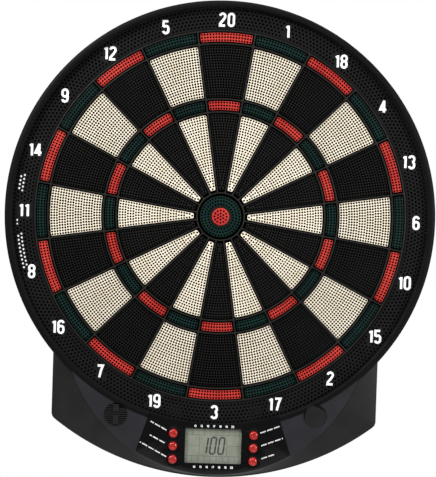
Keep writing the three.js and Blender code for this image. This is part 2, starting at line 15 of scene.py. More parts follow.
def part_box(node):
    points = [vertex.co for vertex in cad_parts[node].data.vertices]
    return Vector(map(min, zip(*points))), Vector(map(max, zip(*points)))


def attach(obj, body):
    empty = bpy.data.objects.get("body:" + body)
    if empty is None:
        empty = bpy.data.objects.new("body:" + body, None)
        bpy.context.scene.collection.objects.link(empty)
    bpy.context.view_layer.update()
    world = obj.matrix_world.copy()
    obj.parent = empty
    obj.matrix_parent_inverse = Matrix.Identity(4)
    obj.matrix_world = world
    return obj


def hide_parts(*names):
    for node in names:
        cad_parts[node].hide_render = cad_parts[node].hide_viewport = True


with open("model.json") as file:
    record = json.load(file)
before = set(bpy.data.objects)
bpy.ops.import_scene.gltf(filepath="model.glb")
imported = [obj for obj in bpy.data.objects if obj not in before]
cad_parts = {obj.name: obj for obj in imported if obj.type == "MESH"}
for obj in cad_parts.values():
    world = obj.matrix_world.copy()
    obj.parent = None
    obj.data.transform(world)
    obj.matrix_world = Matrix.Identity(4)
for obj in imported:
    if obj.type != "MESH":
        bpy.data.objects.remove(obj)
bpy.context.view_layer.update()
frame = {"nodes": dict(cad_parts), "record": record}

MM = 0.001
scene = bpy.context.scene

# ---- Sizes shared with the CAD model ----

NUMBERS = [20, 1, 18, 4, 13, 6, 10, 15, 2, 17, 3, 19, 7, 16, 8, 11, 14, 9, 12, 5]
SECTOR = math.tau / len(NUMBERS)
GAP = 0.3
RIB = 1.5

# Target zones: inner and outer radius, the set-in of each side, the spacing of holes along an arc, and the
# radius of a hole in front and behind.
ZONES = {
    "inner_single": {"inner": 29.0, "outer": 109.6, "side": 2.0, "pitch": 2.88, "hole": (1.18, 1.04)},
    "treble": {"inner": 114.5, "outer": 123.8, "side": 2.5, "pitch": 2.94, "hole": (1.18, 1.04)},
    "outer_single": {"inner": 128.4, "outer": 182.7, "side": 2.0, "pitch": 2.88, "hole": (1.26, 1.12)},
    "double": {"inner": 187.5, "outer": 196.9, "side": 2.5, "pitch": 3.05, "hole": (1.18, 1.04)},
}


def corners(node):
    """A CAD node's lowest and highest corner in millimetres."""
    low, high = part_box(node)
    return np.array(low) / MM, np.array(high) / MM


def front_of(node):
    return corners(node)[0][1]


def back_of(node):
    return corners(node)[1][1]


def middle(node):
    """The X and Z of the middle of a CAD node."""
    low, high = corners(node)
    return (low[0] + high[0]) / 2, (low[2] + high[2]) / 2


SEGMENT_FRONT = front_of("segments_20")
SEGMENT_BACK = back_of("segments_20")
SPIDER_FRONT = front_of("spider")
SPIDER_BACK = back_of("spider")
CATCH_FRONT = front_of("catch_ring")
CATCH_BACK = CATCH_FRONT + 2.0
PANEL = front_of("control_label")
CROWN = front_of("front_housing")
WALL = 2.5
PANEL_THICKNESS = 2.6

BULL = {"inner": 9.5, "outer_inner": 11.8, "outer_outer": 22.0}
HUB_R = (BULL["outer_outer"] + ZONES["inner_single"]["inner"]) / 2
BULL_RAIL_R = (BULL["inner"] + BULL["outer_inner"]) / 2
BULL_RAIL_HALF = 0.55
ARM = {"half": 0.9, "depth": 2.1, "count": 4}  # the arms behind the outer bull that carry its inner rail
SPIDER_R = ZONES["double"]["outer"] + 2.1
FLANGE = {"radius": 205.4, "front": -27.4, "back": -25.4}
CATCH = {"inner": 200.4, "outer": 226.5, "well_inner": 206.0, "well_outer": 208.0}

HOUSING_R = corners("front_housing")[1][2]
RIM_INNER_R = 223.5
SEAT_R = 226.8
SEAT_BACK = -27.4
HOOD_HALF = 176.0
HOOD_BOTTOM_R = 283.0
HOOD_CORNER = 9.0
WALL_TOP = -26.0
ARC_Z = -114.3
ARC_R = 164.2

LABEL = {"top_r": 223.5, "bottom_r": 162.3, "top_x": 69.5, "top_z": -213.5, "low_x": 80.9, "low_z": -250.7}
LABEL_DEPTH = 0.8
DISPLAY = {"half": 30.3, "half_tall": 18.6}
KEY_R = 4.7
SPEAKER = middle("speaker")
BLIND = (108.6, -211.3)  # the shallow recess on the other side, with no speaker behind it
GRILLE_R = 12.9


# ---- Outlines: arrays of X, Z points, clockwise as seen from the front ----


def circle(radius, steps, x=0.0, z=0.0, turn=0.0):
    angles = turn + np.arange(steps) * math.tau / steps
    return np.column_stack([x + radius * np.sin(angles), z + radius * np.cos(angles)])


def disc(radius, steps, x=0.0, z=0.0):
    """A round outline as a function of a set-in."""
    return lambda inset: circle(radius - inset, steps, x, z)


def bore(radius, steps, x=0.0, z=0.0):
    """A round window as a function of a set-in."""
    return lambda inset: circle(radius + inset, steps, x, z)


def polar(radius, angle):
    """A point at a clock angle, in radians from the top."""
    return np.array([radius * math.sin(angle), radius * math.cos(angle)])


def rounded(points, radius, steps=3):
    """The outline with each listed corner turned into a short curve; other points stay.

    points is a list of (x, z, is_corner).
    """
    made = []
    count = len(points)
    for i, (x, z, is_corner) in enumerate(points):
        here = np.array([x, z])
        if not is_corner:
            made.append(here)
            continue
        before = np.array(points[i - 1][:2]) - here
        after = np.array(points[(i + 1) % count][:2]) - here
        start = here + before * min(1.0, radius / np.linalg.norm(before))
        end = here + after * min(1.0, radius / np.linalg.norm(after))
        for t in np.linspace(0, 1, steps + 1):
            made.append((1 - t) ** 2 * start + 2 * t * (1 - t) * here + t * t * end)
    return np.array(made)


def rectangle(x0, x1, z0, z1, radius=0.0, steps=4):
    points = [(x0, z1), (x1, z1), (x1, z0), (x0, z0)]
    if not radius:
        return np.array(points, float)
    return rounded([(*point, True) for point in points], radius, steps)


def sector(inner, outer, side, corner):
    """One ring segment about the top: two arcs, and sides parallel to the sector's edges."""

    def arc(radius, sign):
        half = SECTOR / 2 - math.asin(side / radius)
        trim = min(corner / radius, half * 0.45)
        steps = max(2, round(half * radius / 2.2))
        inside = np.linspace(-(half - trim), half - trim, steps + 1)
        ends = [polar(radius, -half), polar(radius, half)]
        line = [(*polar(radius, angle), False) for angle in inside]
        line = [(*ends[0], True), *line, (*ends[1], True)]
        return line if sign > 0 else line[::-1]

    points = arc(outer, 1) + arc(inner, -1)
    return rounded(points, corner)


# ---- Meshes ----


def inside(point, outline):
    """Whether a flat point is inside a closed outline."""
    x, z = point
    crossings = 0
    for (x0, z0), (x1, z1) in zip(outline, outline[1:] + outline[:1]):
        if (z0 > z) != (z1 > z) and x < x0 + (z - z0) * (x1 - x0) / (z1 - z0):
            crossings += 1
    return crossings % 2 == 1


class Body:
    """Points and faces of one piece, in millimetres."""

    def __init__(self):
        self.points = []
        self.faces = []

    def ring(self, outline, depth):
        """A closed ring of points at a depth, or at one depth each. Returns their indices."""
        start = len(self.points)
        depths = np.broadcast_to(depth, len(outline))
        self.points.extend(zip(outline[:, 0].tolist(), depths.tolist(), outline[:, 1].tolist()))
        return list(range(start, start + len(outline)))

    def band(self, first, second):
        """Quads between two rings of the same length."""
        turned = zip(first, first[1:] + first[:1], second[1:] + second[:1], second)
        self.faces.extend(turned)

    def fill(self, rings):
        """Triangles inside the first ring and outside the others."""
        indices = [i for ring in rings for i in ring]
        flat = [Vector((self.points[i][0], self.points[i][2])) for i in indices]
        owner = [k for k, ring in enumerate(rings) for _ in ring]
        starts = np.cumsum([0] + [len(ring) for ring in rings])
        edges = []
        for start, ring in zip(starts, rings):
            count = len(ring)
            edges.extend((int(start) + i, int(start) + (i + 1) % count) for i in range(count))
        _, _, faces, origins, _, _ = delaunay_2d_cdt(flat, edges, [], 0, 1e-6, True)
        for face in faces:
            own = [origins[v][0] for v in face]
            ring = owner[own[0]]
            if all(owner[v] == ring for v in own):
                centre = sum((flat[v] for v in own), Vector((0.0, 0.0))) / len(own)
                if inside(centre, flat[starts[ring] : starts[ring + 1]]) != (ring == 0):
                    continue
            self.faces.append(tuple(indices[v] for v in own))

    def add(self, other):
        start = len(self.points)
        self.points.extend(other.points)
        self.faces.extend(tuple(start + i for i in face) for face in other.faces)
        return self

    def reshaped(self, points):
        """A body with the same faces between other points."""
        made = Body()
        made.points = points.tolist()
        made.faces = self.faces
        return made

    def moved(self, x=0.0, y=0.0, z=0.0):
        return self.reshaped(np.array(self.points) + (x, y, z))

    def clockwise(self, angle):
        """The body turned clockwise, as seen from the front, about the bull."""
        x, y, z = np.array(self.points).T
        c, s = math.cos(angle), math.sin(angle)
        return self.reshaped(np.column_stack([x * c + z * s, y, z * c - x * s]))


def soft_edge(front, back, soft):
    """(set-in, depth) steps from a front face round a soft edge to the back."""
    if not soft:
        return [(0.0, front), (0.0, back)]
    corner = soft * (1 - math.sqrt(0.5))
    return [(soft, front), (corner, front + corner), (0.0, front + soft), (0.0, back)]


HOLE_SIDES = 8


def pierced(outlines, holes, front, back, soft=0.0, hole=(1.13, 1.0)):
    """A plate with soft front edges and round holes.

    outlines are functions of a set-in: the outside first, then any windows. holes are X, Z places, and
    hole is the radius in front and behind.
    """
    body = Body()
    steps = soft_edge(front, back, soft)
    fronts, backs = [], []
    for outline in outlines:
        rings = [body.ring(outline(inset), depth) for inset, depth in steps]
        for first, second in zip(rings, rings[1:]):
            body.band(first, second)
        fronts.append(rings[0])
        backs.append(rings[-1])
    for x, z in holes:
        first = body.ring(circle(hole[0], HOLE_SIDES, x, z), front)
        second = body.ring(circle(hole[1], HOLE_SIDES, x, z), back)
        body.band(first, second)
        fronts.append(first)
        backs.append(second)
    body.fill(fronts)
    body.fill(backs)
    return body


def prism(outline, front, back):
    return pierced([lambda inset: outline], [], front, back)


def turned(profile, steps, x=0.0, z=0.0):
    """A closed profile of (radius, y) points turned about an axis along Y."""
    body = Body()
    rings = []
    for radius, depth in profile:
        if radius > 0:
            rings.append(body.ring(circle(radius, steps, x, z), depth))
        else:
            rings.append(body.ring(np.array([[x, z]]), depth) * steps)
    for first, second in zip(rings, rings[1:] + rings[:1]):
        if first[0] == first[1] and second[0] == second[1]:
            continue
        for face in zip(first, first[1:] + first[:1], second[1:] + second[:1], second):
            body.faces.append(tuple(dict.fromkeys(face)))
    return body


def stroke(path, width, front, back, closed=False):
    """A flat stroke of one width along a path of X, Z points."""
    path = np.array(path, float)
    before = np.roll(path, 1, 0)
    after = np.roll(path, -1, 0)
    if not closed:
        before[0] = 2 * path[0] - path[1]
        after[-1] = 2 * path[-1] - path[-2]
    into = (path - before) / np.linalg.norm(path - before, axis=1)[:, None]
    out = (after - path) / np.linalg.norm(after - path, axis=1)[:, None]
    normal = np.column_stack([-(into + out)[:, 1], (into + out)[:, 0]])
    normal /= np.linalg.norm(normal, axis=1)[:, None]
    mitre = 1 / np.clip((normal * np.column_stack([-into[:, 1], into[:, 0]])).sum(1), 0.55, 1)
    offset = normal * (width / 2 * mitre)[:, None]
    body = Body()
    sides = [(path + offset, front), (path + offset, back), (path - offset, back), (path - offset, front)]
    lines = [body.ring(points, depth) for points, depth in sides]
    for first, second in zip(lines, lines[1:] + lines[:1]):
        pairs = list(zip(first, second))
        following = pairs[1:] + pairs[:1] if closed else pairs[1:]
        for (a, b), (d, c) in zip(pairs, following):
            body.faces.append((a, b, c, d))
    if not closed:
        body.faces.append(tuple(line[0] for line in lines))
        body.faces.append(tuple(line[-1] for line in lines))
    return body


def object_of(name, body):
    mesh = bpy.data.meshes.new(name)
    mesh.from_pydata((np.array(body.points) * MM).tolist(), [], body.faces)
    made = bmesh.new()
    made.from_mesh(mesh)
    bmesh.ops.recalc_face_normals(made, faces=made.faces)
    made.to_mesh(mesh)
    made.free()
    obj = bpy.data.objects.new(name, mesh)
    scene.collection.objects.link(obj)
    return obj


def combined(obj, body, operation):
    """obj joined with or cut by a body, by an exact boolean."""
    other = object_of("tool", body)
    modifier = obj.modifiers.new("boolean", "BOOLEAN")
    modifier.operation = operation
    modifier.object = other
    modifier.solver = "EXACT"
    depsgraph = bpy.context.evaluated_depsgraph_get()
    mesh = bpy.data.meshes.new_from_object(obj.evaluated_get(depsgraph))
    obj.modifiers.clear()
    obj.data = mesh
    bpy.data.objects.remove(other)


def finished(obj, slot, replaced=(), rides="board", look=None, sharp=32):
    """Shades a piece, hangs it under the empty of what it rides on, and hides the CAD parts it replaces.
    look is a finish in place of the slot's.
    """
    obj.data.materials.clear()
    obj.data.materials.append(MATERIAL[look or slot])
    obj.data.shade_smooth()
    obj.data.set_sharp_from_angle(angle=math.radians(sharp))
    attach(obj, rides)
    if replaced:
        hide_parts(*replaced)


def piece(name, body, slot, replaced=(), rides="board", look=None):
    finished(object_of(name, body), slot, replaced, rides, look)


# ---- Materials ----


def linear(red, green, blue):
    """A display colour from 0 to 255 as the linear colour that a shader takes."""

    def channel(value):
        share = value / 255
        return share / 12.92 if share <= 0.04045 else ((share + 0.055) / 1.055) ** 2.4

    return (channel(red), channel(green), channel(blue), 1.0)


class Finish:
    """A node material with a principled shader, grown by small steps."""

    def __init__(self, name, roughness=0.5, **constant):
        self.material = bpy.data.materials.new(name)
        self.material.use_nodes = True
        self.tree = self.material.node_tree
        self.shader = self.tree.nodes["Principled BSDF"]
        self.shader.inputs["Roughness"].default_value = roughness
        for socket, value in constant.items():
            self.shader.inputs[socket.replace("_", " ")].default_value = value
        self.place = self.node("TexCoord")

    def node(self, kind, **constant):
        """A node with some inputs set; an underscore stands for a space."""
        made = self.tree.nodes.new(f"ShaderNode{kind}")
        for socket, value in constant.items():
            made.inputs[socket.replace("_", " ")].default_value = value
        return made

    def link(self, output, made, socket):
        self.tree.links.new(output, made.inputs[socket])

    def noise(self, size, detail=3.0, stretch=None):
        """Noise with features of a size in millimetres, stretched along an axis if asked."""
        noise = self.node("TexNoise", Scale=1 / (size * MM), Detail=detail)
        source = self.place.outputs["Object"]
        if stretch:
            mapping = self.node("Mapping", Scale=stretch)
            self.link(source, mapping, "Vector")
            source = mapping.outputs["Vector"]
        self.link(source, noise, "Vector")
        return noise.outputs["Fac"]

    def tint(self, first, second, factor, low=0.35, high=0.65):
        ramp = self.node("ValToRGB")
        for stop, position, colour in zip(ramp.color_ramp.elements, (low, high), (first, second)):
            stop.position = position
            stop.color = linear(*colour)
        self.link(factor, ramp, "Fac")
        self.link(ramp.outputs["Color"], self.shader, "Base Color")

    def dim_below(self, front, reach, share):
        """Painted shade: dims the colour with depth behind a front face, standing in for the shade down a
        dart hole and along the sides of a segment.
        """
        split = self.node("SeparateXYZ")
        self.link(self.place.outputs["Object"], split, "Vector")
        spread = self.node("MapRange", From_Min=front * MM, From_Max=(front + reach) * MM, To_Max=share)
        self.link(split.outputs["Y"], spread, "Value")
        # the near-black colour of the painted shade that depth mixes in
        mix = self.node("MixRGB", Color2=linear(4, 4, 4))
        self.link(self.shader.inputs["Base Color"].links[0].from_socket, mix, "Color1")
        self.link(spread.outputs["Result"], mix, "Fac")
        self.link(mix.outputs["Color"], self.shader, "Base Color")

    def sheen_range(self, low, high, factor):
        spread = self.node("MapRange", To_Min=low, To_Max=high)
        self.link(factor, spread, "Value")
        self.link(spread.outputs["Result"], self.shader, "Roughness")

    def bump(self, height, factor):
        node = self.node("Bump", Strength=0.5, Distance=height * MM)
        self.link(factor, node, "Height")
        self.link(node.outputs["Normal"], self.shader, "Normal")


HOLE_SHADE = {"from": 0.15, "reach": 0.7, "share": 0.96}  # where the painted shade down a hole starts, and how dark it gets


def moulded(
    name, dark, light, roughness, grain=0.35, depth=0.03, patch=24.0, specular=0.5, hole_shade_from=None
):
    """Moulded plastic: a fine spark-eroded grain, and slow changes of shade and sheen.

    The last argument is the depth of the front face of a piece full of holes: behind it the colour darkens,
    as painted shade down the holes and along the sides.
    """
    made = Finish(name, roughness, Specular_IOR_Level=specular)
    made.tint(dark, light, made.noise(patch, 4.0))
    # painted shade down the holes and on the sides of a pierced piece
    if hole_shade_from is not None:
        made.dim_below(hole_shade_from + HOLE_SHADE["from"], HOLE_SHADE["reach"], HOLE_SHADE["share"])
    made.sheen_range(roughness - 0.07, roughness + 0.07, made.noise(patch / 3, 3.0))
    made.bump(depth, made.noise(grain, 2.0))
    return made.material


def metal(name, dark, light, roughness):
    made = Finish(name, roughness, Metallic=1.0)
    made.tint(dark, light, made.noise(3.0, 4.0))
    made.sheen_range(roughness - 0.08, roughness + 0.12, made.noise(1.2, 4.0))
    made.bump(0.01, made.noise(0.25, 2.0, stretch=(1.0, 6.0, 1.0)))
    return made.material


def clear_window():
    made = Finish("clear window", 0.08, Alpha=0.05, IOR=1.49)
    made.tint((205, 212, 206), (214, 220, 214), made.noise(30.0))
    made.bump(0.004, made.noise(9.0))
    return made.material


# Segment plastic, with painted shade that darkens the dart holes and the sides behind the front face.
def segment_plastic(name, dark, light, roughness, specular):
    return moulded(name, dark, light, roughness, specular=specular, hole_shade_from=SEGMENT_FRONT)


MATERIAL = {
    "segment_black": segment_plastic("black segment", (15, 15, 15), (20, 20, 19), 0.55, 0.15),
    "segment_cream": segment_plastic("cream segment", (234, 222, 198), (243, 233, 213), 0.5, 0.2),
    "segment_red": segment_plastic("red segment", (172, 42, 37), (192, 58, 50), 0.42, 0.35),
    "segment_green": segment_plastic("green segment", (9, 32, 29), (14, 40, 36), 0.45, 0.2),
    "spider_plastic": moulded("spider plastic", (22, 21, 19), (28, 27, 24), 0.5, specular=0.25),
    "catch_ring_plastic": moulded("catch ring plastic", (16, 16, 17), (21, 21, 22), 0.55, specular=0.12),
    "housing_plastic": moulded("housing plastic", (25, 25, 26), (31, 31, 32), 0.48, specular=0.2),
    # The rim and the console panel are the housing's one plastic again: the rim darker as painted shade, the
    # panel lighter and a little bluer as painted light.
    "rim": moulded("rim plastic darkened as painted shade", (6, 6, 6), (9, 9, 9), 0.6, specular=0.1),
    "console panel": moulded("console panel plastic lightened as painted light", (33, 33, 37), (39, 39, 44), 0.5, specular=0.2),
    "gloss_inlay": moulded("gloss inlay", (6, 6, 7), (8, 8, 10), 0.16, grain=2.5, depth=0.004, specular=0.3),
    "print_white": moulded("white print", (238, 238, 236), (250, 250, 248), 0.5, patch=6.0, specular=0.2),
    "window_clear": clear_window(),
    "lcd_glass": moulded("lcd glass", (110, 115, 98), (130, 135, 120), 0.3, 1.2, 0.004, 14.0, 0.3),
    "lcd_segment": moulded("lcd segment", (4, 6, 5), (7, 9, 8), 0.5, patch=4.0, specular=0.05),
    "lcd grid": moulded("lcd grid", (58, 63, 50), (68, 73, 60), 0.4, patch=4.0, specular=0.1),
    "button_red": moulded("red button", (150, 24, 22), (176, 36, 32), 0.22, 1.0, 0.01, patch=5.0),
    "black_rubber": moulded("black rubber", (22, 22, 22), (30, 30, 29), 0.8, 0.6, 0.05, specular=0.2),
    "clear_film": moulded("contact film", (196, 199, 192), (214, 216, 209), 0.35, grain=3.0),
    "fibreboard": moulded("fibreboard", (92, 62, 40), (124, 88, 58), 0.85, 0.9, 0.15, 7.0, 0.2),
    "circuit_board": moulded("circuit board", (22, 82, 48), (32, 98, 58), 0.4, grain=1.5, patch=6.0),
    "speaker_shell": moulded("speaker shell", (24, 24, 26), (34, 34, 36), 0.6, specular=0.3),
    "cell_jacket": moulded("cell jacket", (48, 52, 58), (58, 62, 69), 0.3, grain=2.0, depth=0.01),
    "contact_steel": metal("contact steel", (172, 173, 175), (196, 197, 198), 0.28),
    "screw_steel": metal("screw steel", (112, 112, 114), (142, 142, 144), 0.34),
}
MATERIAL["numeral_white"] = MATERIAL["print_white"]


# ---- Target ----

HOLE_MARGIN = 1.5  # from a segment's edge to the middle of its first holes
ROW_PITCH = 2.88


def zone_holes(inner, outer, side, pitch):
    """Rows of holes that follow the arcs, spread evenly from edge to edge."""
    depth = outer - inner - 2 * HOLE_MARGIN
    rows = round(depth / ROW_PITCH) + 1
    places = []
    for radius in np.linspace(inner + HOLE_MARGIN, outer - HOLE_MARGIN, rows):
        half = SECTOR / 2 - math.asin(min(1.0, (side + HOLE_MARGIN) / radius))
        width = 2 * half * radius
        count = 1 if width < 0.95 * pitch else math.floor(width / pitch + 0.35) + 1
        angles = np.linspace(-half, half, count) if count > 1 else [0.0]
        places.extend(polar(radius, angle) for angle in angles)
    return places


def ring_holes(radius, count, turn=0.0):
    return [polar(radius, turn + i * math.tau / count) for i in range(count)]


def zone_body(zone):
    inner, outer, side = zone["inner"], zone["outer"], zone["side"]

    def outline(inset):
        return sector(inner + inset, outer - inset, side + inset, 1.3)

    holes = zone_holes(inner, outer, side, zone["pitch"])
    return pierced([outline], holes, SEGMENT_FRONT, SEGMENT_BACK, soft=0.2, hole=zone["hole"])


def target_segments():
    bodies = {name: zone_body(zone) for name, zone in ZONES.items()}
    for i, number in enumerate(NUMBERS):
        single, scoring = ("cream", "green") if i % 2 else ("black", "red")
        for name, body in bodies.items():
            slot = f"segment_{single if name.endswith('single') else scoring}"
            placed = body.clockwise(i * SECTOR)
            piece(f"{name}_{number}", placed, slot, [f"segments_{number}"], rides=f"number_{number}")


BULL_HOLES = {"inner": [(0.0, 1), (3.25, 6), (6.6, 12)], "outer": [(13.5, 27), (16.9, 34), (20.3, 41)]}


def bulls():
    inner = [place for ring in BULL_HOLES["inner"] for place in ring_holes(*ring)]
    body = pierced([disc(BULL["inner"], 64)], inner, SEGMENT_FRONT, SEGMENT_BACK, 0.5)
    piece("bullseye_red", body, "segment_red", ["inner_bull"], rides="inner_bull")

    outline = [disc(BULL["outer_outer"], 120), bore(BULL["outer_inner"], 90)]
    holes = [place for ring in BULL_HOLES["outer"] for place in ring_holes(*ring)]
    body = pierced(outline, holes, SEGMENT_FRONT, SEGMENT_BACK, 0.3)
    piece("bull_ring_green", body, "segment_green", ["outer_bull"], rides="outer_bull")


def spider_web():
    """The web of ribs: one plate with a window for each segment, and the rails behind it."""
    half = RIB / 2
    rails = [
        HUB_R,
        (ZONES["inner_single"]["outer"] + ZONES["treble"]["inner"]) / 2,
        (ZONES["treble"]["outer"] + ZONES["outer_single"]["inner"]) / 2,
        (ZONES["outer_single"]["outer"] + ZONES["double"]["inner"]) / 2,
        SPIDER_R,
    ]

    def window(inner, outer, turn):
        def outline(inset):
            points = sector(inner + half - inset, outer - half + inset, half - inset, 0.9)
            c, s = math.cos(turn), math.sin(turn)
            x = points[:, 0] * c + points[:, 1] * s
            z = points[:, 1] * c - points[:, 0] * s
            return np.column_stack([x, z])

        return outline

    outlines = [disc(SPIDER_R + half, 360), bore(HUB_R - half, 160)]
    for inner, outer in zip(rails, rails[1:]):
        outlines.extend(window(inner, outer, i * SECTOR) for i in range(len(NUMBERS)))
    body = pierced(outlines, [], SPIDER_FRONT, SPIDER_BACK, soft=0.35)

    bull_rail = [disc(BULL_RAIL_R + BULL_RAIL_HALF, 96), bore(BULL_RAIL_R - BULL_RAIL_HALF, 96)]
    body.add(pierced(bull_rail, [], SPIDER_FRONT, SPIDER_BACK, soft=0.25))
    flange = [(SPIDER_R - 0.5, FLANGE["front"]), (FLANGE["radius"], FLANGE["front"])]
    flange += [(FLANGE["radius"], FLANGE["back"]), (SPIDER_R - 0.5, FLANGE["back"])]
    body.add(turned(flange, 180))
    arm = rectangle(-ARM["half"], ARM["half"], BULL_RAIL_R, HUB_R)
    arm = prism(arm, SPIDER_BACK - ARM["depth"], SPIDER_BACK)
    for i in range(ARM["count"]):
        body.add(arm.clockwise(i * math.tau / ARM["count"]))
    piece("spider_web", body, "spider_plastic", ["spider"])


# ---- Catch ring and numerals ----

NUMERAL_R = 211.0
NUMERAL_TALL = 15.2
NUMERAL_STROKE = 2.45
CATCH_ROWS = 6
CATCH_ROW_PITCH = 3.6
CATCH_LAST_ROW_R = 221.8
CATCH_PER_ROW = 320
CATCH_HOLE = (1.3, 1.15)
PAD_HALF = {1: 4.0, 2: 7.6}  # half a numeral's width, by its count of digits
PAD_MARGIN = 1.1


DIGIT_WIDE = 0.43  # of a digit's height, between the middles of its strokes
DIGIT_SPACE = 0.11
ONE_STEM = 0.43  # where a 1 has its stem, of the width of a digit
STROKE_STEP = 0.02  # between the faces of strokes that cross


def arc_path(x, z, radius, start, end, steps=10):
    """Points on an arc between two angles in degrees, counterclockwise from +X."""
    angles = np.radians(np.linspace(start, end, steps + 1))
    return [(x + radius * math.cos(a), z + radius * math.sin(a)) for a in angles]


def digit_paths(digit, wide, tall):
    """Centre lines of a condensed digit, as (points, closed), from its lower left corner."""
    r = wide / 2
    top, low = tall - r, r
    upper = tall * 0.52 + r
    lower = tall * 0.52 - r
    if digit == "0":
        return [(arc_path(r, top, r, 0, 180) + arc_path(r, low, r, 180, 360), True)]
    if digit == "1":
        stem = wide * ONE_STEM
        return [([(stem, 0), (stem, tall)], False), ([(0.0, tall * 0.82), (stem, tall * 0.94)], False)]
    if digit == "2":
        line = arc_path(r, top, r, 172, -20) + [(wide * 0.62, tall * 0.47), (0.3, tall * 0.17), (0.05, 0)]
        return [(line + [(wide, 0)], False)]
    if digit == "3":
        bowl = arc_path(r, top, r, 168, 0) + arc_path(r, upper, r, 0, -78)
        foot = arc_path(r, lower, r, 78, 0) + arc_path(r, low, r, 0, -168)
        return [(bowl, False), (foot, False)]
    if digit == "4":
        stem = wide * 0.72
        return [
            ([(stem, 0), (stem, tall)], False),
            ([(stem, tall * 0.99), (-0.1, tall * 0.25), (wide * 1.15, tall * 0.25)], False),
        ]
    if digit == "5":
        flag = [(wide * 0.95, tall), (0.25, tall), (0.1, tall * 0.52)]
        bowl = arc_path(r, tall * 0.6 - r, r, 150, 0) + arc_path(r, low, r, 0, -168)
        return [(flag, False), (bowl, False)]
    if digit == "6":
        loop = arc_path(r, tall * 0.58 - r, r, 0, 180) + arc_path(r, low, r, 180, 360)
        return [(loop, True), ([(0, low)] + arc_path(r, top, r, 180, 12), False)]
    if digit == "7":
        return [([(-0.1, tall), (wide, tall), (wide * 0.66, tall * 0.6), (wide * 0.34, 0)], False)]
    if digit == "8":
        return [
            (arc_path(r, top, r, 0, 180) + arc_path(r, upper, r, 180, 360), True),
            (arc_path(r, lower, r, 0, 180) + arc_path(r, low, r, 180, 360), True),
        ]
    turned_six = digit_paths("6", wide, tall)
    return [([(wide - x, tall - z) for x, z in points], closed) for points, closed in turned_six]


def number_width(text, tall, width):
    wide = tall * DIGIT_WIDE
    advance = [wide * (ONE_STEM if digit == "1" else 1.0) + width + tall * DIGIT_SPACE for digit in text]
    return wide, advance


def number_body(text, x, z, tall, width, front, back):
    """A number in condensed digits, centred on X and Z."""
    inner = tall - width
    wide, advance = number_width(text, inner, width)
    left = x - (sum(advance) - inner * DIGIT_SPACE) / 2 + width / 2
    body = Body()
    for digit, step in zip(text, advance):
        for k, (points, closed) in enumerate(digit_paths(digit, wide, inner)):
            placed = [(left + px, z - inner / 2 + pz) for px, pz in points]
            body.add(stroke(placed, width, front - k * STROKE_STEP, back + k * STROKE_STEP, closed))
        left += step
    return body


def in_pad(x, z):
    """Whether a place is on the smooth pad round a numeral."""
    for i, number in enumerate(NUMBERS):
        centre = polar(NUMERAL_R, i * SECTOR)
        half = PAD_HALF[len(str(number))] + PAD_MARGIN
        if abs(x - centre[0]) < half and abs(z - centre[1]) < NUMERAL_TALL / 2 + PAD_MARGIN:
            return True
    return False


def catch_ring():
    holes = []
    for row in range(CATCH_ROWS):
        radius = CATCH_LAST_ROW_R - row * CATCH_ROW_PITCH
        for place in ring_holes(radius, CATCH_PER_ROW, (row % 2) * math.pi / CATCH_PER_ROW):
            if not in_pad(*place):
                holes.append(place)
    outlines = [disc(CATCH["outer"], 360), bore(CATCH["inner"], 360)]
    body = pierced(outlines, holes, CATCH_FRONT, CATCH_BACK, soft=0.3, hole=CATCH_HOLE)
    well_back = back_of("catch_ring")
    well = [(CATCH["well_inner"], CATCH_BACK - 0.02), (CATCH["well_outer"], CATCH_BACK - 0.02)]
    well += [(CATCH["well_outer"], well_back), (CATCH["well_inner"], well_back)]
    body.add(turned(well, 240))
    piece("number_ring", body, "catch_ring_plastic", ["catch_ring"])
    for i, number in enumerate(NUMBERS):
        x, z = polar(NUMERAL_R, i * SECTOR)
        raised = CATCH_FRONT - 0.35
        body = number_body(str(number), x, z, NUMERAL_TALL, NUMERAL_STROKE, raised, CATCH_FRONT + 0.2)
        piece(f"numeral_{number}", body, "numeral_white")


# ---- Housing ----


def console_line(inset):
    """The console's sides, round corners and bottom arc, from the right shoulder round to the left."""
    half = HOOD_HALF - inset
    radius = HOOD_BOTTOM_R - inset
    corner = HOOD_CORNER - inset
    x = half - corner
    z = -math.sqrt((radius - corner) ** 2 - x**2)
    turn = math.atan2(-z, x)
    top = ARC_Z - 10
    right = [(half, level) for level in np.linspace(top, z, 12)]
    right += [(x + corner * math.cos(a), z - corner * math.sin(a)) for a in np.linspace(0, turn, 10)[1:]]
    sweep = np.linspace(turn, math.pi - turn, 100)
    bottom = [(radius * math.cos(a), -radius * math.sin(a)) for a in sweep]
    return np.array(right + bottom[1:-1] + [(-px, pz) for px, pz in right[::-1]])


def silhouette(inset):
    """The whole outline from the front: the round rim joined to the console."""
    radius = HOUSING_R - inset
    half = HOOD_HALF - inset
    shoulder = math.pi - math.asin(half / radius)
    round_part = [polar(radius, angle) for angle in np.linspace(-shoulder, shoulder, 300)]
    below = [point for point in console_line(inset) if point[1] < round_part[-1][1] - 1]
    return np.array(round_part + below)


PANEL_STEP = 1.3  # how far the panel stands proud of the wings at its arc


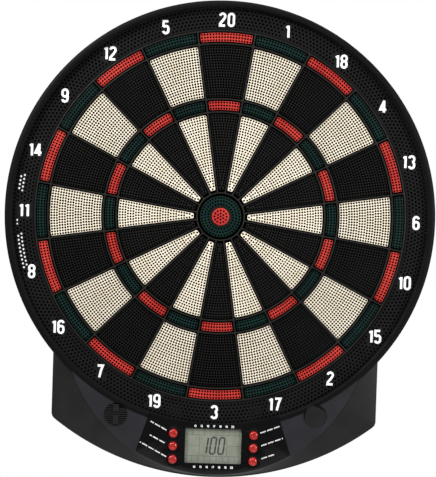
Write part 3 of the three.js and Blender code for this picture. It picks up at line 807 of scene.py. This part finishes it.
def hood_body(inset, drop, back):
    """The hood as a filled shape: the flat panel inside its arc, and wings that fall to the walls."""
    edge = console_line(inset)
    soft = 2.2 if not inset else 0.4
    near = console_line(inset + soft)
    centre = np.array([0.0, ARC_Z])
    direction = (edge - centre) / np.linalg.norm(edge - centre, axis=1)[:, None]
    arc = centre + direction * (ARC_R - inset)
    front = PANEL + drop
    top = WALL_TOP + drop
    body = Body()

    step = 0.0 if inset else PANEL_STEP

    def along(share):
        """A ring on the wing, from the panel's arc at 0 to the wall at 1."""
        return body.ring(arc + (near - arc) * share, front + step + (top - front - step) * share)

    lip = ((1.4, 0), (0.9, 0.12), (0.5, 0.5))
    rings = [body.ring(arc - direction * inward, front + down) for inward, down in lip]
    rings += [along(share) for share in (0.0, 0.25, 0.5, 0.75, 1.0)]
    corner = 1 - math.sqrt(0.5)
    rings.append(body.ring(edge + (near - edge) * corner, top + soft * corner))
    rings.append(body.ring(edge, top + soft))
    rings.append(body.ring(edge, back))
    for first, second in zip(rings, rings[1:]):
        body.band(first, second)
    body.fill([rings[0]])
    body.fill([rings[-1]])
    return body


def box_outline(node, inset, radius=0.0):
    """The rectangle round a CAD node in X and Z, set in by a margin."""
    low, high = corners(node)
    return rectangle(low[0] + inset, high[0] - inset, low[2] + inset, high[2] - inset, radius)


def label_outline(margin):
    top = math.atan2(LABEL["top_z"], LABEL["top_x"] + margin)
    low = math.atan2(LABEL["low_z"] - ARC_Z, LABEL["low_x"] + margin)
    top_r = LABEL["top_r"] - margin
    low_r = LABEL["bottom_r"] + margin
    upper = [(top_r * math.cos(a), top_r * math.sin(a)) for a in np.linspace(-math.pi - top, top, 48)]
    sweep = np.linspace(low, -math.pi - low, 48)
    lower = [(low_r * math.cos(a), ARC_Z + low_r * math.sin(a)) for a in sweep]
    return np.array(upper + lower)


def key_places():
    return [(name, *middle(name)) for name in frame["nodes"] if name.startswith("button_")]


SLOT_PITCH = 2.3
SLOT_HALF = 0.55


def grille_slots():
    """Horizontal slots across the grille; the outer ones are broken in the middle."""
    x, z = SPEAKER
    slots = []
    for i in range(-5, 6):
        rise = i * SLOT_PITCH
        half = math.sqrt((GRILLE_R - 0.9) ** 2 - rise**2)
        spans = [(-half, half)] if i in (-5, 0, 1, 5) else [(-half, -2.6), (2.6, half)]
        slots += [(x + a, x + b, z + rise - SLOT_HALF, z + rise + SLOT_HALF) for a, b in spans]
    return slots


CROWN_R = 4.2  # the outer rounding of the rim
LIP_R = 1.7  # and its inner rounding
GRILLE_RECESS = 0.5


def panel_or_rim(face):
    """The material slot of a face of the housing: 2 on the console's panel, a lighter copy of the housing
    plastic as painted light; 1 on the rim's crown, a darker copy as painted shade; or 0.
    """
    x, y, z = (value / MM for value in face.center)
    if abs(y - PANEL) < 0.4 and math.hypot(x, z - ARC_Z) < ARC_R + 0.4 and face.normal.y < -0.7:
        return 2
    return int(RIM_INNER_R < math.hypot(x, z) < HOUSING_R + 0.1 and y < CROWN + 5)


def front_shell():
    front, through = PANEL - 2, PANEL + PANEL_THICKNESS + 1
    crown_middle, crown_level = HOUSING_R - CROWN_R, CROWN + CROWN_R
    crown = [(HOUSING_R, 0.0)]
    for angle in np.linspace(0, math.pi / 2, 9):
        crown.append((crown_middle + CROWN_R * math.cos(angle), crown_level - CROWN_R * math.sin(angle)))
    shell = object_of("front_shell", turned([(0, 0.0), *crown, (0, CROWN)], 360))
    combined(shell, hood_body(0.0, 0.0, 0.0), "UNION")

    inner = hood_body(WALL, PANEL_THICKNESS, 2.0)
    combined(shell, inner, "DIFFERENCE")

    lip_middle, lip_level = RIM_INNER_R + LIP_R, CROWN + LIP_R
    lip = []
    for angle in np.linspace(0, math.pi / 2, 7):
        lip.append((lip_middle - LIP_R * math.sin(angle), lip_level - LIP_R * math.cos(angle)))
    seat = CATCH_FRONT - GAP
    chamber_r = HOUSING_R - WALL
    opening = [(0, CROWN - 2), (lip_middle, CROWN - 2), *lip, (RIM_INNER_R, seat), (SEAT_R, seat)]
    opening += [(SEAT_R, SEAT_BACK), (chamber_r, SEAT_BACK + 1.5), (chamber_r, 2.0), (0, 2.0)]
    combined(shell, turned(opening, 360), "DIFFERENCE")

    recesses = prism(label_outline(GAP), front, PANEL + LABEL_DEPTH + GAP)
    for place in (SPEAKER, BLIND):
        recesses.add(prism(circle(GRILLE_R, 64, *place), front, PANEL + GRILLE_RECESS))
    combined(shell, recesses, "DIFFERENCE")

    holes = prism(box_outline("display_window", -GAP), front, through)
    for _, x, z in key_places():
        holes.add(prism(circle(KEY_R + GAP, 40, x, z), front, through))
    for slot in grille_slots():
        holes.add(prism(rectangle(*slot, radius=SLOT_HALF * 0.9), front, through))
    combined(shell, holes, "DIFFERENCE")
    finished(shell, "housing_plastic", ["front_housing"], sharp=28)
    # copies of the housing plastic with painted shade on the rim and painted light on the panel
    for name in ("rim", "console panel"):
        shell.data.materials.append(MATERIAL[name])
    for face in shell.data.polygons:
        face.material_index = panel_or_rim(face)


def control_inlay():
    """The glossy inlay, with windows for the display and the keys."""
    x, z = middle("display_window")

    def display(inset):
        half, tall = DISPLAY["half"] + inset, DISPLAY["half_tall"] + inset
        return rectangle(x - half, x + half, z - tall, z + tall, 1.0)

    outlines = [lambda inset: label_outline(-inset), display]
    outlines += [bore(KEY_R + GAP, 40, *place) for _, *place in key_places()]
    body = pierced(outlines, [], PANEL, PANEL + LABEL_DEPTH, soft=0.2)
    piece("control_inlay", body, "gloss_inlay", ["control_label"])


# Each legend: the near end beside its key, how far it runs outwards, and how steeply, in degrees.
LEGENDS = {
    "left_upper": (-50.8, -230.9, 20.5, 28),
    "left_middle": (-52.5, -244.6, 19.4, 27),
    "left_lower": (-50.2, -259.5, 32.5, 28),
    "right_upper": (50.4, -231.2, 23.5, 21),
    "right_middle": (51.9, -244.9, 24.8, 21),
    "right_lower": (52.7, -258.7, 14.6, 20),
}
LEGEND_TALL = 1.35
LEGEND_MARK = 0.9
LEGEND_PITCH = 1.3
NUMBER_PITCH = 6.67
NUMBER_SHIFT = 0.4  # how far the small numbers stand right of the display's middle
NUMBER_TALL = 2.6


def inlay_print():
    """Plain blocks in place of the words beside the keys, and small numbers over and under the display."""
    print_front, print_back = PANEL - 0.06, PANEL + 0.1
    marks = Body()
    for name, (x, z, length, rise) in LEGENDS.items():
        outward = -1 if name.startswith("left") else 1
        step = np.array([outward * math.cos(math.radians(rise)), math.sin(math.radians(rise))])
        for i in range(int(length / LEGEND_PITCH)):
            if i % 6 == 5:
                continue
            near = np.array([x, z]) + step * (i * LEGEND_PITCH)
            tall = LEGEND_TALL - 0.25 * (i % 3 == 1)
            marks.add(stroke([near, near + step * LEGEND_MARK], tall, print_front, print_back))
    piece("key_legends", marks, "print_white")

    x, z = middle("display_window")
    numbers = Body()
    for level in (z + DISPLAY["half_tall"] + 3.0, z - DISPLAY["half_tall"] - 3.9):
        for i, number in enumerate([15, 16, 17, 18, 19, 20]):
            at = x + NUMBER_SHIFT + (i - 2) * NUMBER_PITCH
            numbers.add(number_body(str(number), at, level, NUMBER_TALL, 0.5, print_front, print_back))
        bull = circle(0.85, 16, x + NUMBER_SHIFT - 3 * NUMBER_PITCH, level)
        numbers.add(stroke(bull, 0.6, print_front, print_back, closed=True))
    piece("display_numbers", numbers, "print_white")


LCD_DIGIT = {"tall": 17.5, "wide": 5.5, "bar": 1.9, "slant": 0.12, "pitch": 9.0}
LCD_STRIP_Z = 11.4  # from the display's middle to the rules over and under the digits
LCD_COLUMN_X = 14.8


def lcd_bars(lit):
    """The centre lines of the bars of one digit that are on, from its lower left corner."""
    wide, tall, trim = LCD_DIGIT["wide"], LCD_DIGIT["tall"], LCD_DIGIT["bar"] * 0.2
    half = tall / 2
    bars = {
        "a": [(trim, tall), (wide - trim, tall)],
        "b": [(wide, half + trim), (wide, tall - trim)],
        "c": [(wide, trim), (wide, half - trim)],
        "d": [(trim, 0), (wide - trim, 0)],
        "e": [(0, trim), (0, half - trim)],
        "f": [(0, half + trim), (0, tall - trim)],
    }
    return [bars[name] for name in lit]


def lcd():
    low, high = corners("lcd_module")
    x, z = middle("lcd_module")
    front = low[1]

    glass = pierced([lambda inset: box_outline("lcd_module", inset, 0.6)], [], front, high[1], soft=0.3)
    piece("lcd_glass", glass, "lcd_glass", ["lcd_module"])

    ink_front, ink_back = front - 0.05, front + 0.05
    digits = Body()
    for place, lit in ((-1, "bc"), (0, "abcdef"), (1, "abcdef")):
        left = x + place * LCD_DIGIT["pitch"] - LCD_DIGIT["wide"] / 2
        for line in lcd_bars(lit):
            risen = [(px, pz - LCD_DIGIT["tall"] / 2) for px, pz in line]
            bent = [(left + px + pz * LCD_DIGIT["slant"], z + pz) for px, pz in risen]
            digits.add(stroke(bent, LCD_DIGIT["bar"], ink_front, ink_back))
    piece("lcd_digits", digits, "lcd_segment")

    grid = Body()
    edge = DISPLAY["half"] - 0.8

    def line(x0, z0, x1, z1):
        grid.add(stroke([(x + x0, z + z0), (x + x1, z + z1)], 0.4, ink_front, ink_back))

    for level in (LCD_STRIP_Z, -LCD_STRIP_Z):
        line(-edge, level, edge, level)
        outer = math.copysign(DISPLAY["half_tall"] - 0.8, level)
        for i in range(-4, 4):
            at = NUMBER_SHIFT + (i + 0.5) * NUMBER_PITCH
            line(at, level, at, outer)
    for side in (-1, 1):
        line(side * LCD_COLUMN_X, -LCD_STRIP_Z, side * LCD_COLUMN_X, LCD_STRIP_Z)
        line(side * LCD_COLUMN_X, 0, side * edge, 0)
    piece("lcd_grid", grid, "lcd_segment", look="lcd grid")


DIMPLE_R, DIMPLE = 2.2, 0.7  # the finger dimple in the top of a key


def keys():
    for name, x, z in key_places():
        low, high = corners(name)
        base = PANEL + PANEL_THICKNESS + GAP
        tip = low[1]
        shoulder = tip + 2.2
        profile = [(0.0, high[1]), (3.0, high[1]), (3.0, base + 1.2), (5.5, base + 1.2), (5.5, base)]
        profile += [(KEY_R, base), (KEY_R, shoulder + 0.7)]
        for angle in np.linspace(0, math.pi / 2, 8):
            inward = (KEY_R - DIMPLE_R) * (1 - math.cos(angle))
            profile.append((KEY_R - inward, shoulder + 0.5 - (shoulder + 0.5 - tip) * math.sin(angle)))
        for angle in np.linspace(0, math.pi / 2, 7)[1:]:
            profile.append((DIMPLE_R * math.cos(angle), tip + DIMPLE * math.sin(angle)))
        profile[-1] = (0.0, tip + DIMPLE)
        piece(f"{name}_cap", turned(profile, 40, x, z), "button_red", [name], rides=name)


# ---- Back ----

COVER_THICKNESS = 2.2
RIB_FRONT = -9.1
RIB_RINGS = (60, 150)
RIB_SPOKES = (22, 90, 158, 202, 270, 338)  # clock degrees
RIB_END = 198
SCREW = {"head_r": 3.0, "well_r": 3.6, "sunk": 3.0, "shank_r": 1.4, "cup_r": 4.9, "cup_front": -5.0}
KEYHOLE = {"x": 76.2, "z": 149.6, "entry_r": 6.0, "slot": 2.7, "rise": 12.0}
CUTAWAYS = ((219.0, 253.0, 263.5), (223.0, 266.0, 271.0), (219.0, 275.5, 280.5))  # radius, clock degrees
CUTAWAY_OUTER = 226.1
BAY = {"half": 30.0, "half_tall": 23.8, "front": -19.5, "wall": 2.9, "floor": 1.6}
BAY_Z = middle("battery_door")[1]
DOOR_SEAT_FRONT = -2.0
CELL_Y = sum(corners("battery_cell_2")[i][1] for i in (0, 1)) / 2
CELL_HALF = 24.6
LEAF = {"x": 29.2, "thickness": 0.5, "half": 5.0}
SPRING = {"base_r": 4.0, "tip_r": 2.4, "wire_r": 0.36, "turns": 3.5, "reach": 4.1}


def screw_places():
    names = sorted(name for name in frame["nodes"] if name.startswith("cover_screw_"))
    return [(name, *middle(name)) for name in names]


def keyhole_outline(side):
    x, z = side * KEYHOLE["x"], KEYHOLE["z"]
    top = z + KEYHOLE["rise"]

    def outline(inset):
        slot, entry = KEYHOLE["slot"] + inset, KEYHOLE["entry_r"] + inset
        meet = math.asin(slot / entry)
        points = [(x + slot * math.sin(a), top + slot * math.cos(a)) for a in np.linspace(-1.57, 1.57, 9)]
        sweep = np.linspace(meet, math.tau - meet, 25)
        points += [(x + entry * math.sin(a), z + entry * math.cos(a)) for a in sweep]
        return np.array(points)

    return outline


def arc_window(inner, outer, start, end):
    """A window between two radii and two clock angles in degrees."""

    def outline(inset):
        low, high = inner - inset, outer + inset
        first, last = math.radians(start) - inset / outer, math.radians(end) + inset / outer
        far = [polar(high, angle) for angle in np.linspace(first, last, 14)]
        near = [polar(low, angle) for angle in np.linspace(last, first, 14)]
        return np.array(far + near)

    return outline


def to_wall(body):
    """The body turned back to front about the wall plane, so that its soft edges face the wall."""
    return body.reshaped(np.array(body.points) * (1, -1, 1))


def laid(body, side, y=0.0, z=0.0):
    """A body built along Y, laid along X towards a side."""
    across, along, up = np.array(body.points).T
    return body.reshaped(np.column_stack([side * along, across + y, up + z]))


def bay_rectangle(grow, radius):
    half, tall = BAY["half"] + grow, BAY["half_tall"] + grow
    return rectangle(-half, half, BAY_Z - tall, BAY_Z + tall, radius)


def rear_cover():
    clear = WALL + GAP
    outlines = [lambda inset: silhouette(clear + inset), keyhole_outline(-1), keyhole_outline(1)]
    outlines += [arc_window(inner, CUTAWAY_OUTER, first, last) for inner, first, last in CUTAWAYS]
    cover = object_of("rear_shell", to_wall(pierced(outlines, [], 0.0, COVER_THICKNESS, soft=0.5)))

    inside = 0.8 - COVER_THICKNESS  # how far the ribs and walls reach into the plate
    combined(cover, prism(bay_rectangle(BAY["wall"], 2.0), BAY["front"] - BAY["floor"], inside), "UNION")
    cups, wells, holes = Body(), Body(), Body()
    for _, x, z in screw_places():
        cups.add(prism(circle(SCREW["cup_r"], 32, x, z), SCREW["cup_front"], inside))
        wells.add(prism(circle(SCREW["well_r"], 32, x, z), -SCREW["sunk"], 1.0))
        holes.add(prism(circle(SCREW["shank_r"] + GAP, 20, x, z), SCREW["cup_front"] - 1, 0.5))
    rings = Body()
    for radius in RIB_RINGS:
        near, far = radius - 1, radius + 1
        profile = [(near, RIB_FRONT), (far, RIB_FRONT), (far, inside), (near, inside)]
        rings.add(turned(profile, 120))
    spokes = Body()
    spoke = prism(rectangle(-1, 1, RIB_RINGS[0], RIB_END), RIB_FRONT + 0.1, inside - 0.1)
    for clock in RIB_SPOKES:
        spokes.add(spoke.clockwise(math.radians(clock)))
    for part in (cups, rings, spokes):
        combined(cover, part, "UNION")
    seat = prism(bay_rectangle(BAY["wall"] - 0.1, 1.4), DOOR_SEAT_FRONT, 1.0)
    for part in (prism(bay_rectangle(0.0, 1.0), BAY["front"], 1.5), seat, wells, holes):
        combined(cover, part, "DIFFERENCE")
    finished(cover, "housing_plastic", ["rear_cover"], sharp=11)


def battery_door():
    """The lid, with a ridged thumb recess at its top edge and a snap hook at top and bottom."""
    low, high = corners("battery_door")
    depth = 1.6

    lid = pierced([lambda inset: box_outline("battery_door", inset, 1.2)], [], 0.0, depth, soft=0.4)
    door = object_of("battery_lid", to_wall(lid).moved(y=high[1]))
    hooks = Body()
    for z in (high[2] - 3.8, low[2] + 2.9):
        hooks.add(prism(rectangle(-9, 9, z, z + 0.9), low[1], high[1] - depth + 0.5))
    combined(door, hooks, "UNION")
    grip_z = high[2] - 8.5
    grip = [(9.5 * math.sin(a), grip_z + 5.0 * math.cos(a)) for a in np.arange(48) * math.tau / 48]
    combined(door, prism(np.array(grip), high[1] - 0.75, 1.0), "DIFFERENCE")
    ridges = Body()
    for i in range(-2, 3):
        half = 8.2 * math.sqrt(1 - (i * 1.7 / 5.0) ** 2)
        z = grip_z + i * 1.7
        ridges.add(prism(rectangle(-half, half, z - 0.35, z + 0.35, 0.3), high[1] - 1.0, high[1] - 0.25))
    combined(door, ridges, "UNION")
    finished(door, "housing_plastic", ["battery_door"], rides="battery_door", sharp=11)


def cells():
    """Each cell: a steel can with its nub, in a plastic sleeve that is rolled over at both ends."""
    end = CELL_HALF
    can = [(0, -end), (5.7, -end), (6.4, 0.4 - end), (6.4, end - 0.6), (4.6, end - 0.5), (4.2, end - 0.2)]
    can += [(2.7, end - 0.2), (2.7, end + 1.0), (2.4, end + 1.2), (0, end + 1.2)]
    sleeve = [(6.45, -end + 0.1), (6.9, -end), (7.1, 0.3 - end), (7.1, end - 0.4), (6.8, end), (5.4, end)]
    sleeve += [(5.3, end - 0.25), (6.45, end - 0.45)]
    for name in frame["nodes"]:
        if not name.startswith("battery_cell_"):
            continue
        x, z = middle(name)
        side = math.copysign(1, x)
        metal_can, jacket = (laid(turned(profile, 48), side, CELL_Y, z) for profile in (can, sleeve))
        piece(f"{name}_can", metal_can, "contact_steel", [name])
        piece(f"{name}_sleeve", jacket, "cell_jacket", [name])


def spring():
    """A conical coil along Y, from its wide end at 0 to its tip."""
    body = Body()
    rings = []
    count = int(SPRING["turns"] * 16)
    angles = np.linspace(0, SPRING["turns"] * math.tau, count)
    sides = np.arange(8) * math.tau / 8
    for angle in angles:
        share = angle / angles[-1]
        radius = SPRING["base_r"] + (SPRING["tip_r"] - SPRING["base_r"]) * share
        outward = np.array([math.sin(angle), 0.0, math.cos(angle)])
        centre = outward * radius + (0.0, SPRING["wire_r"] + SPRING["reach"] * share, 0.0)
        first = len(body.points)
        for turn in sides:
            around = outward * math.cos(turn) + np.array([0.0, math.sin(turn), 0.0])
            body.points.append((centre + around * SPRING["wire_r"]).tolist())
        rings.append(list(range(first, first + len(sides))))
    for first, second in zip(rings, rings[1:]):
        body.band(first, second)
    body.faces += [tuple(rings[0]), tuple(rings[-1])]
    return body


def contacts():
    """Leaves at the ends of the bay, each with a spring or a pressed bump at every cell."""
    bump = turned([(0, 0), (3.4, 0), (3.0, 0.5), (1.9, 2.9), (1.4, 3.2), (0, 3.2)], 32)
    coil = spring()
    for name in frame["nodes"]:
        if not name.startswith("contact_") or "film" in name:
            continue
        low, high = corners(name)
        side = math.copysign(1, low[0] + high[0])
        ends = (low[2], high[2])

        def leaf(inset, ends=ends):
            half = LEAF["half"] - inset
            return rectangle(-half, half, ends[0] + inset, ends[1] - inset, 1.2)

        plate = pierced([leaf], [], LEAF["x"], LEAF["x"] + LEAF["thickness"], soft=0.12)
        made = laid(plate, side, CELL_Y)
        for cell in (f"battery_cell_{i}" for i in (1, 2, 3)):
            x, z = middle(cell)
            if not ends[0] < z < ends[1]:
                continue
            part = bump if x * side > 0 else coil
            made.add(laid(to_wall(part).moved(y=LEAF["x"] + 0.05), side, CELL_Y, z))
        piece(f"{name}_leaf", made, "contact_steel", [name])


def screws():
    """Cover screws with a domed head and a cross recess."""
    places = screw_places()
    low, high = corners(places[0][0])
    back, under = high[1], high[1] - 2.0
    head, shank = SCREW["head_r"], SCREW["shank_r"]
    profile = [(0, back), (1.5, back), (2.3, back - 0.25), (2.8, back - 0.8), (head, back - 1.4)]
    profile += [(head, under), (shank, under), (shank, low[1] + 1.2), (0, low[1])]
    master = object_of("screw_master", turned(profile, 32))
    for half_x, half_z in ((1.7, 0.32), (0.32, 1.7)):
        cross = prism(rectangle(-half_x, half_x, -half_z, half_z), back - 1.1, back + 1)
        combined(master, cross, "DIFFERENCE")
    for name, x, z in places:
        screw = bpy.data.objects.new(f"{name}_head", master.data.copy())
        screw.data.transform(Matrix.Translation((x * MM, 0, z * MM)))
        scene.collection.objects.link(screw)
        finished(screw, "screw_steel", [name])
    bpy.data.objects.remove(master)


# ---- Light, floor and camera ----


def area_light(name, at, aim, size, power):
    data = bpy.data.lights.new(name, "AREA")
    data.shape = "DISK"
    data.size = size
    data.energy = power
    light = bpy.data.objects.new(name, data)
    light.location = at
    light.rotation_euler = (Vector(aim) - Vector(at)).to_track_quat("-Z", "Y").to_euler()
    scene.collection.objects.link(light)


def studio():
    world = bpy.data.worlds.new("studio")
    scene.world = world
    world.use_nodes = True
    nodes, links = world.node_tree.nodes, world.node_tree.links
    nodes["Background"].inputs["Strength"].default_value = 0.16
    backdrop = nodes.new("ShaderNodeBackground")
    backdrop.inputs["Strength"].default_value = 1.0
    for node in (nodes["Background"], backdrop):
        node.inputs["Color"].default_value = (1.0, 1.0, 1.0, 1.0)
    path = nodes.new("ShaderNodeLightPath")
    mix = nodes.new("ShaderNodeMixShader")
    links.new(path.outputs["Is Camera Ray"], mix.inputs["Fac"])
    links.new(nodes["Background"].outputs["Background"], mix.inputs[1])
    links.new(backdrop.outputs["Background"], mix.inputs[2])
    links.new(mix.outputs["Shader"], nodes["World Output"].inputs["Surface"])

    area_light("key", (-1.7, -1.3, 1.5), (0, 0, 0), 1.1, 78)
    area_light("fill", (1.9, -1.2, 0.3), (0, 0, 0), 1.2, 42)
    area_light("top", (0.1, -0.6, 1.8), (0, 0, -0.05), 0.9, 16)
    area_light("rear", (0.9, 1.8, 1.0), (0, 0, 0), 1.4, 50)


FLOOR_BELOW = 1.73  # metres from the floor to the bull, as a board is hung
FLOOR_R = 4.0


def floor():
    body = Body()
    rings = [body.ring(circle(radius * 1000, 96), 0.0) for radius in (0.02, FLOOR_R * 0.5, FLOOR_R)]
    body.faces.append(tuple(rings[0]))
    for first, second in zip(rings, rings[1:]):
        body.band(first, second)
    made = object_of("floor", body)
    made.data.transform(Matrix.Rotation(math.radians(90), 4, "X"))
    made.location.z = -FLOOR_BELOW
    paint = moulded("pale floor", (238, 238, 236), (243, 243, 241), 0.8, grain=4.0, patch=400.0)
    made.data.materials.append(paint)


CAMERA = {"azimuth": -0.8, "elevation": 0.9, "roll": 1.88, "distance": 1.0}
VIEW_TALL = 512.5365  # millimetres of the target's plane from the top to the bottom of the view
AIM = (-2.0, -23.6)  # X and Z in the target's plane that the camera looks at


def camera():
    data = bpy.data.cameras.new("camera")
    data.sensor_width = 36.0
    data.lens = CAMERA["distance"] * 1000 * data.sensor_width / VIEW_TALL
    data.clip_start = 0.05
    data.clip_end = 50
    made = bpy.data.objects.new("camera", data)
    azimuth, elevation = math.radians(CAMERA["azimuth"]), math.radians(CAMERA["elevation"])
    level = math.cos(elevation)
    back = Vector((math.sin(azimuth) * level, -math.cos(azimuth) * level, math.sin(elevation)))
    aim = Vector((AIM[0] * MM, SEGMENT_FRONT * MM, AIM[1] * MM))
    made.location = aim + back * CAMERA["distance"]
    upright = (-back).to_track_quat("-Z", "Y").to_matrix().to_4x4()
    roll = Matrix.Rotation(math.radians(CAMERA["roll"]), 4, "Z")
    made.matrix_world = Matrix.Translation(made.location) @ upright @ roll
    scene.collection.objects.link(made)
    scene.camera = made


# ---- Assembly ----


def cad_finishes():
    """Finishes for the CAD pieces that are shown as they are."""
    for part in frame["record"]["subparts"]:
        node = frame["nodes"].get(part["node"])
        if node:
            node.data.materials.clear()
            node.data.materials.append(MATERIAL[part["material_slot"]])


scene.view_settings.view_transform = "Standard"
studio()
floor()
camera()
target_segments()
bulls()
spider_web()
catch_ring()
front_shell()
control_inlay()
inlay_print()
lcd()
keys()
rear_cover()
battery_door()
cells()
contacts()
screws()
cad_finishes()
